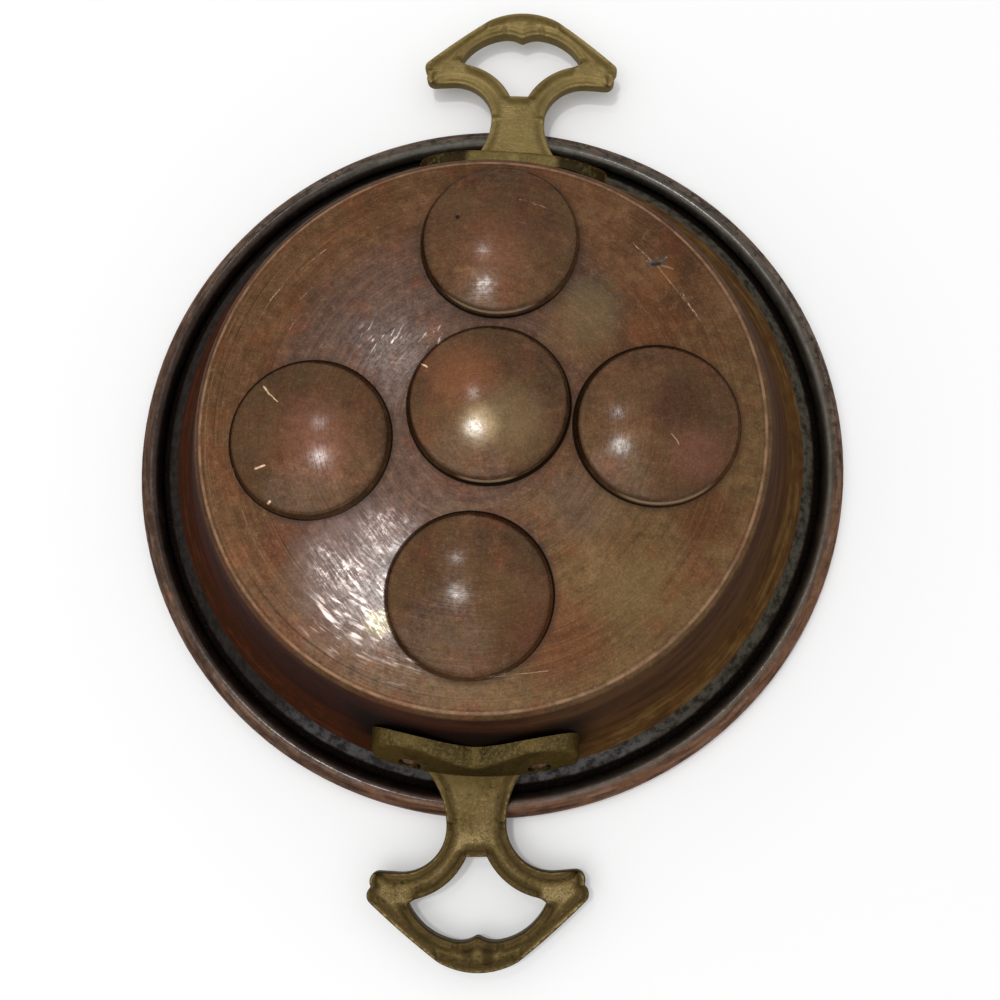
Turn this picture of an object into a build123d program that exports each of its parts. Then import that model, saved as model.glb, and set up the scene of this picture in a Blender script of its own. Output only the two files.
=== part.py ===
from build123d import *
import os
from math import asin, atan2, cos, degrees, hypot, radians, sin, sqrt, tan

# A small round copper pan for baking snails, modelled lying mouth down.
# Its five hollows show from outside as five low domes on the base. The wall
# flares out to an open rolled rim, the inside is tinned, and two cast brass
# loop handles are riveted on opposite sides.
# +Z is up, Y runs from handle to handle, and the origin is the centre of the
# ring on which the rim rests. All sizes are in millimetres and degrees.

# Copper body, raised from one sheet
sheet = 1.2
body_height = 28.0
base_radius = 56.0
base_bend = 2.4
flare_radius = 63.0
flare_height = 9.5
flare_bend = 8.0

# Rolled rim, left open, and worn flat where it rests
rim_radius = 76.0
curl_radius = 2.6
curl_tip_angle = 150.0
rest_width = 1.2

# Snail hollows pressed into the base, by the place of each centre
hollow_radius = 16.0
hollow_flank = 1.9
hollow_flank_angle = 65.0
hollow_crown = 60.0
hollow_shoulder = 0.9
hollow_crease = 0.3
hollow_land = 0.3
hollow_places = {
    "middle": (1.5, 4.0),
    "back": (2.1, 37.8),
    "left": (-32.8, -4.3),
    "right": (34.2, 1.0),
    "front": (-0.2, -33.3),
}

# Tin wiped over the inside, pooled a little in the edge of each hollow
tin = 0.2
tin_pool = 0.6

# Where the two handles point, counted round the pan from +X
front_angle = -88.8
back_angle = 87.3

# Loop of the handle, measured outwards from the rim's outer edge
plate_thickness = 2.75
plate_droop = 3.0
rim_gap = 0.35
loop_turn = 2.5
neck_width = 11.9
neck_root_sweep = 42.0
arm_level = 0.9
arm_turn = 9.0
arm_spread = 80.0
arm_width = 5.3
knuckle_radius = 1.9
knuckle_inner = (19.5, 11.5)
knuckle_outer = (20.1, 14.2)
bow_start = 47.0
bow_shoulder = (8.0, 26.8)
bow_ease = 8.0
handle_reach = 28.9
window_foot = 7.0
window_corner = (13.7, 15.9)
window_side = (9.9, 20.6)
window_top = (4.4, 23.0)
window_cusp = 21.9
window_ease = 3.0
corner_round = 0.5
cusp_round = 1.2
plate_top_round = 0.9
plate_under_round = 0.7

# Flange that carries the handle on the wall, with a round lobe over each rivet
lobe_spread = 12.1
lobe_height = 10.8
lobe_radius = 8.5
flange_notch = 13.5
flange_notch_round = 3.0
flange_bottom = 8.2
flange_seat_top = 13.0
flange_back_lean = 10.0
flange_front_lean = 25.0
flange_edge = 2.4
flange_round = 1.5

# Copper rivets, two to a handle, with their heads sunk into the flange
rivet_spacing = 25.3
rivet_height = 10.2
rivet_grip = 3.1
shank_radius = 1.4
head_radius = 2.0
head_height = 0.9
spot_radius = 2.3
inner_head_radius = 2.4
inner_head_height = 0.8
seat_clearance = 0.05

# The curl's centre stands so that the worn flat lies on the plane z = 0
curl_height = sqrt(curl_radius**2 - (rest_width / 2) ** 2)
curl_centre = (rim_radius - curl_radius, curl_height)
curl_bore = curl_radius - sheet

# Lean of the wall and of the flare below it, both from the vertical. The flare
# runs on into the curl without a break.
wall_lean = degrees(atan2(flare_radius - base_radius, body_height - flare_height))
flare_run = curl_centre[0] - flare_radius
flare_drop = flare_height - curl_centre[1]
flare_lean = degrees(atan2(flare_run, flare_drop) - asin(curl_bore / hypot(flare_run, flare_drop)))
curl_start = 180 + flare_lean
curl_sweep = 180 + curl_tip_angle - flare_lean


def corner_inset(corner, upper_lean, lower_lean, inset):
    """Corner between two walls of given lean, once both are moved inwards."""
    upper = (cos(radians(upper_lean)), sin(radians(upper_lean)))
    lower = (cos(radians(lower_lean)), sin(radians(lower_lean)))
    share = inset / (1 + upper[0] * lower[0] + upper[1] * lower[1])
    x = corner[0] - share * (upper[0] + lower[0])
    return (x, corner[1] - share * (upper[1] + lower[1]))


def wall_path(inset):
    """Base, wall and flare as corner points, inset from the outer surface."""
    base_corner = corner_inset((base_radius, body_height), 90, wall_lean, inset)
    flare_corner = corner_inset((flare_radius, flare_height), wall_lean, flare_lean, inset)
    reach = curl_bore + inset
    x = curl_centre[0] - reach * cos(radians(flare_lean))
    z = curl_centre[1] - reach * sin(radians(flare_lean))
    return [(0, base_corner[1]), base_corner, flare_corner, (x, z)]


def wall_bends(inset):
    """Bend radii at the base corner and the flare, for the same inset."""
    return [base_bend - inset, flare_bend + inset]


def filled_pan(inset):
    """Everything inside the wall, once it is inset from the outer surface."""
    with BuildPart() as filling:
        with BuildSketch(Plane.XZ):
            with BuildLine():
                skin = FilletPolyline(*wall_path(inset), radius=wall_bends(inset))
                Polyline(skin @ 0, (0, 0), ((skin @ 1).X, 0), skin @ 1)
            make_face()
        revolve(axis=Axis.Z)
    return filling.part


# The crown of a hollow is part of a large ball, centred below on its axis
shoulder_reach = hollow_radius - hollow_flank / tan(radians(hollow_flank_angle))
crown_centre = body_height + hollow_flank - sqrt(hollow_crown**2 - shoulder_reach**2)


def hollow_shape(inset):
    """Crease radius and shoulder point of a hollow, inset from its outer surface."""
    lean = radians(hollow_flank_angle)
    crease = hollow_radius + inset / tan(lean) - inset / sin(lean)
    rise = body_height - inset - crown_centre
    along = crease * -cos(lean) + rise * sin(lean)
    beyond = crease**2 + rise**2 - (hollow_crown - inset) ** 2
    run = -along + sqrt(along**2 - beyond)
    shoulder = (crease - run * cos(lean), body_height - inset + run * sin(lean))
    return crease, shoulder


def hollow_cup(near, far, eased, ease):
    """One hollow as a cup between two insets, with a narrow land round it.

    The shoulder of the face at the inset called eased is rounded by ease.
    """
    land = hollow_radius + hollow_land
    with BuildPart() as cup:
        with BuildSketch(Plane.XZ) as section:
            with BuildLine():
                ends = []
                for inset in (near, far):
                    crease, shoulder = hollow_shape(inset)
                    level = body_height - inset
                    aim = degrees(atan2(shoulder[1] - crown_centre, shoulder[0]))
                    Line((land, level), (crease, level))
                    Line((crease, level), shoulder)
                    CenterArc((0, crown_centre), hollow_crown - inset, aim, 90 - aim)
                    ends.append((0, crown_centre + hollow_crown - inset))
                Line((land, body_height - near), (land, body_height - far))
                Line(*ends)
            make_face()
            bends = [
                ((hollow_shape(near)[0], body_height - near), hollow_crease + near),
                ((hollow_shape(far)[0], body_height - far), hollow_crease + far),
                (hollow_shape(eased)[1], ease),
            ]
            for corner, bend in bends:
                fillet(section.vertices().sort_by_distance(corner)[0], bend)
        revolve(axis=Axis.Z)
    return cup.part


hollow_centres = [(x, y) for x, y in hollow_places.values()]

# Rivet axes stand square to the wall
rivet_seat = flare_radius - (rivet_height - flare_height) * tan(radians(wall_lean))
rivet_turn = degrees(asin(rivet_spacing / 2 / (rivet_seat + rivet_grip * cos(radians(wall_lean)))))


def rivet_plane(angle):
    """Plane on the wall at an angle round the pan, facing out along a rivet."""
    side = (cos(radians(angle)), sin(radians(angle)))
    out = cos(radians(wall_lean))
    origin = (rivet_seat * side[0], rivet_seat * side[1], rivet_height)
    return Plane(origin=origin, z_dir=(out * side[0], out * side[1], sin(radians(wall_lean))))


rivet_angles = {
    "front_left": front_angle - rivet_turn,
    "front_right": front_angle + rivet_turn,
    "back_left": back_angle + rivet_turn,
    "back_right": back_angle - rivet_turn,
}
rivet_places = [Location(rivet_plane(angle)) for angle in rivet_angles.values()]
hole_radius = shank_radius + seat_clearance
hole_length = 4 * (sheet + rivet_grip)

# Copper body
with BuildPart() as pan_body:
    with BuildSketch(Plane.XZ) as body_section:
        with BuildLine():
            outside = FilletPolyline(*wall_path(0), radius=wall_bends(0))
            inside = FilletPolyline(*wall_path(sheet), radius=wall_bends(sheet))
            Line(outside @ 0, inside @ 0)
            curl_outer = CenterArc(curl_centre, curl_radius, curl_start, curl_sweep)
            curl_inner = CenterArc(curl_centre, curl_bore, curl_start, curl_sweep)
            tip_middle = (curl_outer @ 1 + curl_inner @ 1) / 2
            tip_nose = tip_middle + (curl_outer % 1) * (sheet / 2)
            ThreePointArc(curl_outer @ 1, tip_nose, curl_inner @ 1)
        make_face()
    revolve(axis=Axis.Z)
    split(bisect_by=Plane.XY, keep=Keep.TOP)
    with Locations(*[(x, y, body_height) for x, y in hollow_centres]):
        Cylinder(hollow_radius + hollow_land, 4 * sheet, mode=Mode.SUBTRACT)
    with Locations(*[(x, y, 0) for x, y in hollow_centres]):
        add(hollow_cup(0, sheet, 0, hollow_shoulder))
    with Locations(*rivet_places):
        Cylinder(hole_radius, hole_length, mode=Mode.SUBTRACT)
pan_body.part.label = "pan_body"

# Tin lining, from the hollows to where the wall runs into the curl
with BuildPart() as tin_lining:
    with BuildSketch(Plane.XZ):
        with BuildLine():
            tin_back = FilletPolyline(*wall_path(sheet), radius=wall_bends(sheet))
            tin_face = FilletPolyline(*wall_path(sheet + tin), radius=wall_bends(sheet + tin))
            Line(tin_back @ 0, tin_face @ 0)
            Line(tin_back @ 1, tin_face @ 1)
        make_face()
    revolve(axis=Axis.Z)
    with Locations(*[(x, y, body_height - sheet) for x, y in hollow_centres]):
        Cylinder(hollow_radius + hollow_land, 2 * sheet, mode=Mode.SUBTRACT)
    with Locations(*[(x, y, 0) for x, y in hollow_centres]):
        add(hollow_cup(sheet, sheet + tin, sheet + tin, tin_pool))
    with Locations(*rivet_places):
        Cylinder(hole_radius, hole_length, mode=Mode.SUBTRACT)
tin_lining.part.label = "tin_lining"

# Loop of the handle, drawn on its sloping top face with Y from the rim
curl_top = curl_centre[1] + curl_radius
slope = tan(radians(plate_droop))
plate_drop = plate_thickness / cos(radians(plate_droop))
plate_plane = Plane(
    origin=(0, rim_radius, curl_top + rim_gap + plate_drop - curl_radius * slope),
    x_dir=(1, 0, 0),
    z_dir=(0, sin(radians(plate_droop)), cos(radians(plate_droop))),
)
arm_centre = (neck_width / 2 + arm_turn, arm_level)
window_turn = arm_turn + arm_width
window_start = degrees(asin((window_foot - arm_level) / window_turn))

# The neck's root widens in one arc from its waist to the flange, and then
# runs straight on into it
root_level = rivet_seat + rivet_grip - rim_radius
root_turn = (arm_level - root_level) / sin(radians(neck_root_sweep))
root_centre = (neck_width / 2 + root_turn, arm_level)
root_slope = tan(radians(neck_root_sweep))

# The arm's outer side runs straight off its arc and on to the inner knuckle
arm_step = (knuckle_inner[0] - arm_centre[0], knuckle_inner[1] - arm_centre[1])
arm_aim = degrees(atan2(arm_step[1], arm_step[0]) - asin((arm_turn + knuckle_radius) / hypot(*arm_step)))
knuckle_foot = (
    knuckle_inner[0] + knuckle_radius * sin(radians(arm_aim)),
    knuckle_inner[1] - knuckle_radius * cos(radians(arm_aim)),
)
bow_foot = (
    knuckle_outer[0] + knuckle_radius * cos(radians(bow_start)),
    knuckle_outer[1] + knuckle_radius * sin(radians(bow_start)),
)
bow_aim = (-sin(radians(bow_start)), cos(radians(bow_start)))

# The two round knuckles cross in a small notch on the outer side
knuckle_step = (knuckle_outer[0] - knuckle_inner[0], knuckle_outer[1] - knuckle_inner[1])
knuckle_gap = hypot(*knuckle_step)
notch_depth = sqrt(knuckle_radius**2 - (knuckle_gap / 2) ** 2) / knuckle_gap
notch = (
    (knuckle_inner[0] + knuckle_outer[0]) / 2 + knuckle_step[1] * notch_depth,
    (knuckle_inner[1] + knuckle_outer[1]) / 2 - knuckle_step[0] * notch_depth,
)

inner_notch_angle = degrees(atan2(notch[1] - knuckle_inner[1], notch[0] - knuckle_inner[0]))
outer_notch_angle = degrees(atan2(notch[1] - knuckle_outer[1], notch[0] - knuckle_outer[0]))

with BuildPart() as loop_plate:
    with BuildSketch(plate_plane) as loop_outline:
        with BuildLine():
            root_side = CenterArc(root_centre, root_turn, 180, neck_root_sweep)
            arm_side = CenterArc(arm_centre, arm_turn, 90 + arm_aim, 90 - arm_aim)
            root_end = (root_side @ 1) + Vector(root_slope, -1) * flange_edge
            Polyline((0, root_end.Y), root_end, root_side @ 1)
            Line(arm_side @ 0, knuckle_foot)
            CenterArc(knuckle_inner, knuckle_radius, arm_aim - 90, inner_notch_angle - arm_aim + 90)
            CenterArc(
                knuckle_outer, knuckle_radius, outer_notch_angle, bow_start - outer_notch_angle
            )
            TangentArc(bow_foot, bow_shoulder, tangent=bow_aim)
            bow_end = (-bow_shoulder[0], bow_shoulder[1])
            bow = ThreePointArc(bow_shoulder, (0, handle_reach), bow_end)
            Polyline(bow @ 1, (0, bow_shoulder[1]), (0, root_end.Y))
        make_face()
        with BuildLine():
            arm_inside = CenterArc(
                arm_centre, window_turn, 180 - arm_spread, arm_spread - window_start
            )
            Polyline((0, window_cusp), (0, window_foot), arm_inside @ 1)
            Line(arm_inside @ 0, window_corner)
            bow_inside = ThreePointArc(window_corner, window_side, window_top)
            TangentArc(window_top, (0, window_cusp), tangent=bow_inside % 1)
        make_face(mode=Mode.SUBTRACT)
        mirror(about=Plane.YZ)
        for x, y in [window_corner, notch]:
            for side in (x, -x):
                fillet(loop_outline.vertices().sort_by_distance((side, y))[0], corner_round)
        for side in (1, -1):
            arm_foot = ((arm_inside @ 0).X * side, (arm_inside @ 0).Y)
            fillet(loop_outline.vertices().sort_by_distance(arm_foot)[0], window_ease)
        fillet(loop_outline.vertices().sort_by_distance((0, window_cusp))[0], cusp_round)
        for side in (bow_shoulder, bow_end):
            fillet(loop_outline.vertices().sort_by_distance(side)[0], bow_ease)
    extrude(amount=-plate_thickness)
    root_start = rim_radius + root_level
    for face, bend in ((-1, plate_top_round), (0, plate_under_round)):
        rims = loop_plate.faces().sort_by(Axis.Z)[face].edges()
        fillet(rims.filter_by_position(Axis.Y, root_start, 2 * rim_radius), bend)

# Flange: a leaning plate that follows the wall round, standing off it at the
# top, cut to two lobes with a notch between them
seat_radius = flare_radius - (flange_seat_top - flare_height) * tan(radians(wall_lean))
flange_top = lobe_height + lobe_radius
back_radius = seat_radius - (flange_top - flange_seat_top) * tan(radians(flange_back_lean))
front_radius = back_radius + flange_edge
front_foot = front_radius + (flange_top - flange_bottom) * tan(radians(flange_front_lean))
lobe_reach = hypot(lobe_spread, lobe_height - flange_notch)
lobe_tilt = degrees(
    atan2(lobe_height - flange_notch, lobe_spread) + asin(lobe_radius / lobe_reach)
)
lobe_start = -degrees(asin((lobe_height - flange_bottom) / lobe_radius))

with BuildPart() as flange:
    with BuildSketch(Plane.XZ):
        Polygon(
            (seat_radius, flange_bottom),
            (front_foot, flange_bottom),
            (front_radius, flange_top),
            (back_radius, flange_top),
            (seat_radius, flange_seat_top),
            align=None,
        )
    revolve(axis=Axis.Z)
    with BuildSketch(Plane.XZ) as flange_outline:
        with BuildLine():
            lobe = CenterArc(
                (lobe_spread, lobe_height), lobe_radius, lobe_start, 90 + lobe_tilt - lobe_start
            )
            Polyline(lobe @ 1, (0, flange_notch), (0, flange_bottom), lobe @ 0)
        make_face()
        mirror(about=Plane.YZ)
        notch_corner = flange_outline.vertices().sort_by_distance((0, flange_notch))[0]
        fillet(notch_corner, flange_notch_round)
    extrude(amount=-rim_radius, mode=Mode.INTERSECT)
    flange_front = flange.faces().filter_by(GeomType.CONE).sort_by(Axis.Y)[-1]
    fillet(flange_front.edges(), flange_round)

# One casting serves both ends, pointing along +Y and trimmed to the wall. Its
# loop came out of the sand turned a little on its flange.
flange_middle = rivet_seat + rivet_grip
loop_place = Pos(0, flange_middle, 0) * Rot(0, 0, loop_turn) * Pos(0, -flange_middle, 0)
casting_rivets = [rivet_plane(90 - rivet_turn), rivet_plane(90 + rivet_turn)]
with BuildPart() as casting:
    add(flange.part)
    with Locations(loop_place):
        add(loop_plate.part)
    add(filled_pan(0), mode=Mode.SUBTRACT)
    with Locations(*[Location(place) for place in casting_rivets]):
        Cylinder(hole_radius, hole_length, mode=Mode.SUBTRACT)
    with Locations(*[Location(place.offset(rivet_grip)) for place in casting_rivets]):
        Cylinder(
            spot_radius,
            rivet_grip,
            align=(Align.CENTER, Align.CENTER, Align.MIN),
            mode=Mode.SUBTRACT,
        )

with BuildPart() as front_handle:
    with Locations(Rotation(0, 0, front_angle - 90)):
        add(casting.part)
front_handle.part.label = "front_handle"

with BuildPart() as back_handle:
    with Locations(Rotation(0, 0, back_angle - 90)):
        add(casting.part)
back_handle.part.label = "back_handle"

# Rivet, drawn along its own axis from the wall's outer surface
inner_seat = sheet + tin + seat_clearance
inner_face = -inner_seat - inner_head_height
head_top = rivet_grip + head_height
head_edge = rivet_grip + head_height * 0.3
stem_end = -inner_seat - inner_head_height / 2


def low_dome(radius, edge, top):
    """Half of a low round top, from its edge to its crown on the axis."""
    ball = (radius**2 + (top - edge) ** 2) / (2 * (top - edge))
    aim = degrees(atan2(edge - top + ball, radius))
    return CenterArc((0, top - ball), abs(ball), aim, (90 if top > edge else -90) - aim)


with BuildPart() as rivet_tail:
    with BuildSketch(Plane.XZ):
        with BuildLine():
            Polyline((0, inner_face), (0, 0), (inner_head_radius, 0), (inner_head_radius, -inner_seat))
            low_dome(inner_head_radius, -inner_seat, inner_face)
        make_face()
    revolve(axis=Axis.Z)

with BuildPart() as rivet_stem:
    with BuildSketch(Plane.XZ):
        with BuildLine():
            Polyline((head_radius, head_edge), (head_radius, rivet_grip), (shank_radius, rivet_grip))
            Polyline((shank_radius, rivet_grip), (shank_radius, stem_end), (0, stem_end), (0, head_top))
            low_dome(head_radius, head_edge, head_top)
        make_face()
    revolve(axis=Axis.Z)

# The inner head is hammered down to the lining, so it follows the wall
rivet_stand = Location(rivet_plane(0))
with BuildPart() as rivet_form:
    with Locations(rivet_stand):
        add(rivet_tail.part)
    add(filled_pan(inner_seat), mode=Mode.INTERSECT)
    with Locations(rivet_stand):
        add(rivet_stem.part)

rivets = {}
for rivet_name, angle in rivet_angles.items():
    with BuildPart() as rivet:
        with Locations(Rotation(0, 0, angle)):
            add(rivet_form.part)
    rivet.part.label = f"{rivet_name}_rivet"
    rivets[rivet_name] = rivet.part

os.makedirs("parts", exist_ok=True)
export_step(pan_body.part, "parts/pan_body.step")
export_step(tin_lining.part, "parts/tin_lining.step")
export_step(front_handle.part, "parts/front_handle.step")
export_step(back_handle.part, "parts/back_handle.step")
export_step(rivets["front_left"], "parts/front_left_rivet.step")
export_step(rivets["front_right"], "parts/front_right_rivet.step")
export_step(rivets["back_left"], "parts/back_left_rivet.step")
export_step(rivets["back_right"], "parts/back_right_rivet.step")
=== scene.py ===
# %% [markdown]
# # A small copper pan for baking snails, lying mouth down
#
# The real pan is a thin copper bowl whose base has five round hollows pressed into it. It lies
# upside down, so that the hollows show as low domes. The rim is rolled and left open, two cast
# brass handles are riveted to the wall, and the inside is tinned.
#
# The solids come from a CAD model whose shapes are right, so this script loads them as they are and
# gives its work to the finishes: copper that was rubbed in rings, with painted shade in its corners
# and creases and painted highlights where a lamp would shine, dull tin, and brass straight from a
# sand mould. Lengths are in metres. +Z is up, and the handles point along Y.

# %% Load the solids
import math

import bpy
import numpy as np
from mathutils import Matrix, Vector


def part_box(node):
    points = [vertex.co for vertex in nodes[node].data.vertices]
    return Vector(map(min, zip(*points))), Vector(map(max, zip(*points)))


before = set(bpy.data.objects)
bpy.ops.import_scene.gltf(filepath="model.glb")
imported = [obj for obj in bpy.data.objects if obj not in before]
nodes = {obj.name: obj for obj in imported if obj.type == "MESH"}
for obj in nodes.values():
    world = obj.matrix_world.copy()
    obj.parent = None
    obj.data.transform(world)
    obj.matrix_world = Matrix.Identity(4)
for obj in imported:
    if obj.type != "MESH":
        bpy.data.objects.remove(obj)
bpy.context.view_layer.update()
print("nodes", sorted(nodes))

# %% [markdown]
# ## The places that the finishes need
#
# Wear, dirt and painted shade follow the form: the groove of the rim is black, partly soot and
# partly painted shade, and the crease round each dome is dark, partly dirt and partly painted
# shade. A material can find those places if it knows a few sizes of the pan, so they are written
# here once, in millimetres, as they are in the CAD model.

# %% Sizes of the pan
BASE_HEIGHT = 28.0
BASE_RADIUS = 56.0
FLARE_RADIUS = 63.0
FLARE_HEIGHT = 9.5
FLARE_END = (72.5, 1.46)
RIM_RADIUS = 76.0
CURL_RADIUS = 2.6
CURL_CENTRE = (RIM_RADIUS - CURL_RADIUS, 2.53)
HOLLOW_RADIUS = 16.0
HOLLOWS = {
    "middle": (1.5, 4.0),
    "back": (2.1, 37.8),
    "left": (-32.8, -4.3),
    "right": (34.2, 1.0),
    "front": (-0.2, -33.3),
}
low, high = (np.array(corner) * 1000 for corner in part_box("pan_body"))
print("rim radius in the solids", round(float(high[0]), 2), "written here", RIM_RADIUS)

# %% [markdown]
# ## Writing materials as sums
#
# A material is a graph of nodes, and a long graph built socket by socket is hard to read. Here
# a socket is wrapped in a small class whose operators add the Math node, so that a pattern can be
# written as a sum. Every other node comes from one method.

# %% A socket that can be reckoned with
class Value:
    """One output of a material's graph. An operator on it adds the Math node that does it."""

    def __init__(self, finish, socket):
        self.finish = finish
        self.socket = socket

    def __add__(self, other):
        return self.finish.maths("ADD", self, other)

    def __radd__(self, other):
        return self.finish.maths("ADD", other, self)

    def __sub__(self, other):
        return self.finish.maths("SUBTRACT", self, other)

    def __rsub__(self, other):
        return self.finish.maths("SUBTRACT", other, self)

    def __mul__(self, other):
        return self.finish.maths("MULTIPLY", self, other)

    def __rmul__(self, other):
        return self.finish.maths("MULTIPLY", other, self)

    def __truediv__(self, other):
        return self.finish.maths("DIVIDE", self, other)

    def __rtruediv__(self, other):
        return self.finish.maths("DIVIDE", other, self)

    def __pow__(self, other):
        return self.finish.maths("POWER", self, other)

    def __abs__(self):
        return self.finish.maths("ABSOLUTE", self)


def colour(code):
    """A colour written as six hex digits, as the linear numbers that a shader takes."""
    parts = [int(code[i : i + 2], 16) / 255 for i in (0, 2, 4)]
    linear = [p / 12.92 if p <= 0.04045 else ((p + 0.055) / 1.055) ** 2.4 for p in parts]
    return (*linear, 1.0)


print("mid brown", [round(c, 3) for c in colour("7a5f40")])

# %% A material under construction
class Finish:
    """A material being put together. Places are in millimetres, read from the object's own
    coordinates, which are those of the whole pan."""

    def __init__(self, name):
        self.material = bpy.data.materials.new(name)
        self.material.use_nodes = True
        self.tree = self.material.node_tree
        self.tree.nodes.clear()
        coordinates = self.node("ShaderNodeTexCoord", output="Object")
        self.place = self.vectors("SCALE", {0: coordinates, "Scale": 1000.0})
        self.x, self.y, self.z = self.split(self.place)
        self.r = self.length(self.x, self.y)

    def node(self, kind, settings=None, sockets=None, output=0):
        """Adds a node: its settings first, then the values or links of its sockets."""
        made = self.tree.nodes.new(kind)
        for name, setting in (settings or {}).items():
            if name == "stops":
                ramp = made.color_ramp
                while len(ramp.elements) < len(setting):
                    ramp.elements.new(0.5)
                for element, (position, stop) in zip(ramp.elements, setting):
                    element.position = position
                    element.color = stop
            else:
                setattr(made, name, setting)
        for name, value in (sockets or {}).items():
            if isinstance(value, Value):
                self.tree.links.new(value.socket, made.inputs[name])
            else:
                made.inputs[name].default_value = value
        return Value(self, made.outputs[output]) if made.outputs else None

    def maths(self, operation, *values):
        return self.node("ShaderNodeMath", {"operation": operation}, dict(enumerate(values)))

    def length(self, x, y):
        """The length of a step of x and y: the root of the sum of their squares."""
        return self.maths("SQRT", x * x + y * y)

    def vectors(self, operation, sockets):
        return self.node("ShaderNodeVectorMath", {"operation": operation}, sockets)

    def split(self, vector):
        """The three parts of a vector, each as a value."""
        parts = self.node("ShaderNodeSeparateXYZ", None, {0: vector})
        outputs = parts.socket.node.outputs
        return [Value(self, outputs[i]) for i in range(3)]

    def join(self, x, y, z):
        return self.node("ShaderNodeCombineXYZ", None, {0: x, 1: y, 2: z})

    def ease(self, value, low, high):
        """0 at low, 1 at high and smooth between them. Low may be the larger one."""
        settings = {"interpolation_type": "SMOOTHSTEP"}
        if low < high:
            return self.node("ShaderNodeMapRange", settings, {0: value, 1: low, 2: high})
        return 1 - self.node("ShaderNodeMapRange", settings, {0: value, 1: high, 2: low})

    def band(self, value, middle, half, soft):
        """1 within half of the middle, falling to 0 over the distance soft."""
        return self.ease(abs(value - middle), half + soft, half)

    def noise(self, size, detail=3.0, rough=0.5, place=None, shift=0.0):
        """Soft blotches about size millimetres across, from 0 to 1."""
        scaled = self.vectors("SCALE", {0: place or self.place, "Scale": 1 / size})
        moved = self.vectors("ADD", {0: scaled, 1: (shift, shift, shift)})
        sockets = {"Vector": moved, "Scale": 1.0, "Detail": detail, "Roughness": rough}
        return self.node("ShaderNodeTexNoise", None, sockets)

    def mix(self, mask, under, over, how="MIX"):
        """Lays the colour over on the colour under, where the mask is 1."""
        return self.node(
            "ShaderNodeMix",
            {"data_type": "RGBA", "blend_type": how},
            {0: mask, 6: under, 7: over},
            output=2,
        )

    def lay(self, under, mask, code):
        """Lays one plain colour, written as six hex digits, over the colour under."""
        return self.mix(mask, under, colour(code))

    def ramp(self, value, stops):
        """Turns a value into a colour by stops, each a position and a colour in hex digits."""
        stops = [(position, colour(code)) for position, code in stops]
        return self.node("ShaderNodeValToRGB", {"stops": stops}, {0: value})

    def surface(self, sockets, relief=None, relief_mm=0.1):
        """The shader, with what varies linked and what is constant set on its own sockets.
        Relief is a height from 0 to 1, and relief_mm is how high 1 stands."""
        if relief is not None:
            sockets["Normal"] = self.node(
                "ShaderNodeBump",
                None,
                {"Strength": 1.0, "Distance": relief_mm / 1000, "Height": relief},
            )
        shader = self.node("ShaderNodeBsdfPrincipled", None, sockets)
        self.node("ShaderNodeOutputMaterial", None, {"Surface": shader})
        return self.material


print("helpers for finishes are ready")

# %% [markdown]
# ## Copper
#
# Old copper is not one colour. On the base it has been rubbed in rings with something gritty, so it
# is a warm brown with greyer, redder and olive clouds and fine marks that run round, and where a
# lamp would shine in it, it carries painted highlights and a painted sheen. The steep wall is
# painted dark, as painted shade for the dark that it reflects, the flare is darker too, and where
# the tin ran over the edge they carry a grey strip. The groove of the rim is black, partly soot and
# partly painted shade, and the roll itself is rubbed.
# One material does all of this: it works out in which zone a point lies from its distance to the
# axis and its height, and lays the colours of the zones over each other. The metal is rough, and a
# thin smooth coat over it gives each dome the small bright point inside a wide soft glow.

# %% Zones of the copper body
copper = Finish("aged_copper")
flare_fall = (FLARE_HEIGHT - FLARE_END[1]) / (FLARE_END[0] - FLARE_RADIUS)
over_flare = copper.z - (FLARE_HEIGHT + FLARE_RADIUS * flare_fall) + copper.r * flare_fall
from_curl = copper.length(copper.r - CURL_CENTRE[0], copper.z - CURL_CENTRE[1])
cloud = copper.noise(14.0, detail=3.0, rough=0.6)
cloud_fine = copper.noise(3.2, detail=4.0, rough=0.65, shift=7.0)
grain = copper.noise(0.45, detail=1.5, rough=0.7, shift=3.0)
ragged = (cloud_fine - 0.5) * 1.6

on_base = copper.ease(copper.z + ragged * 0.25, BASE_HEIGHT - 1.6, BASE_HEIGHT - 0.6)
on_flare = copper.ease(copper.z + ragged * 0.8, 13.0, 8.0)
on_strip = copper.band(copper.r + ragged * 0.45, 68.1, 1.1, 0.45)
on_strip = on_strip * copper.ease(abs(over_flare), 0.9, 0.5)
on_roll = copper.ease(copper.r, 70.2, 70.9)
groove_floor = copper.ease(copper.r + ragged * 0.3, 68.9, 69.7) * copper.ease(copper.r, 73.0, 72.4)
groove_floor = groove_floor * copper.ease(over_flare, 0.95, 0.5)
groove_floor = groove_floor * copper.ease(over_flare, -0.6, -0.3)
groove_bore = copper.ease(from_curl, CURL_RADIUS - 0.4, CURL_RADIUS - 0.9) * on_roll
in_groove = copper.maths("MAXIMUM", groove_floor, groove_bore)
past_flare = copper.maths("MAXIMUM", over_flare, copper.r - 72.0)
on_bead = copper.ease(from_curl, CURL_RADIUS - 0.35, CURL_RADIUS - 0.1)
on_bead = on_bead * copper.ease(past_flare, 0.7, 1.1) * on_roll
print("the flare falls", round(flare_fall, 3), "mm per mm outwards")

# %% [markdown]
# ### Marks
#
# A rubbed pan shows marks of three kinds: fine rings, straight strokes and single scratches. They
# could be painted on a picture, which would need an unwrapped surface and would blur up close.
# Here each kind is a small function of the place instead: noise squeezed along the mark, or the
# distance to a line or an arc. That stays sharp at any size and follows the pan from every side.

# %% Marks that run round the pan or across it
MARKED_RADIUS = 50.0


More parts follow.
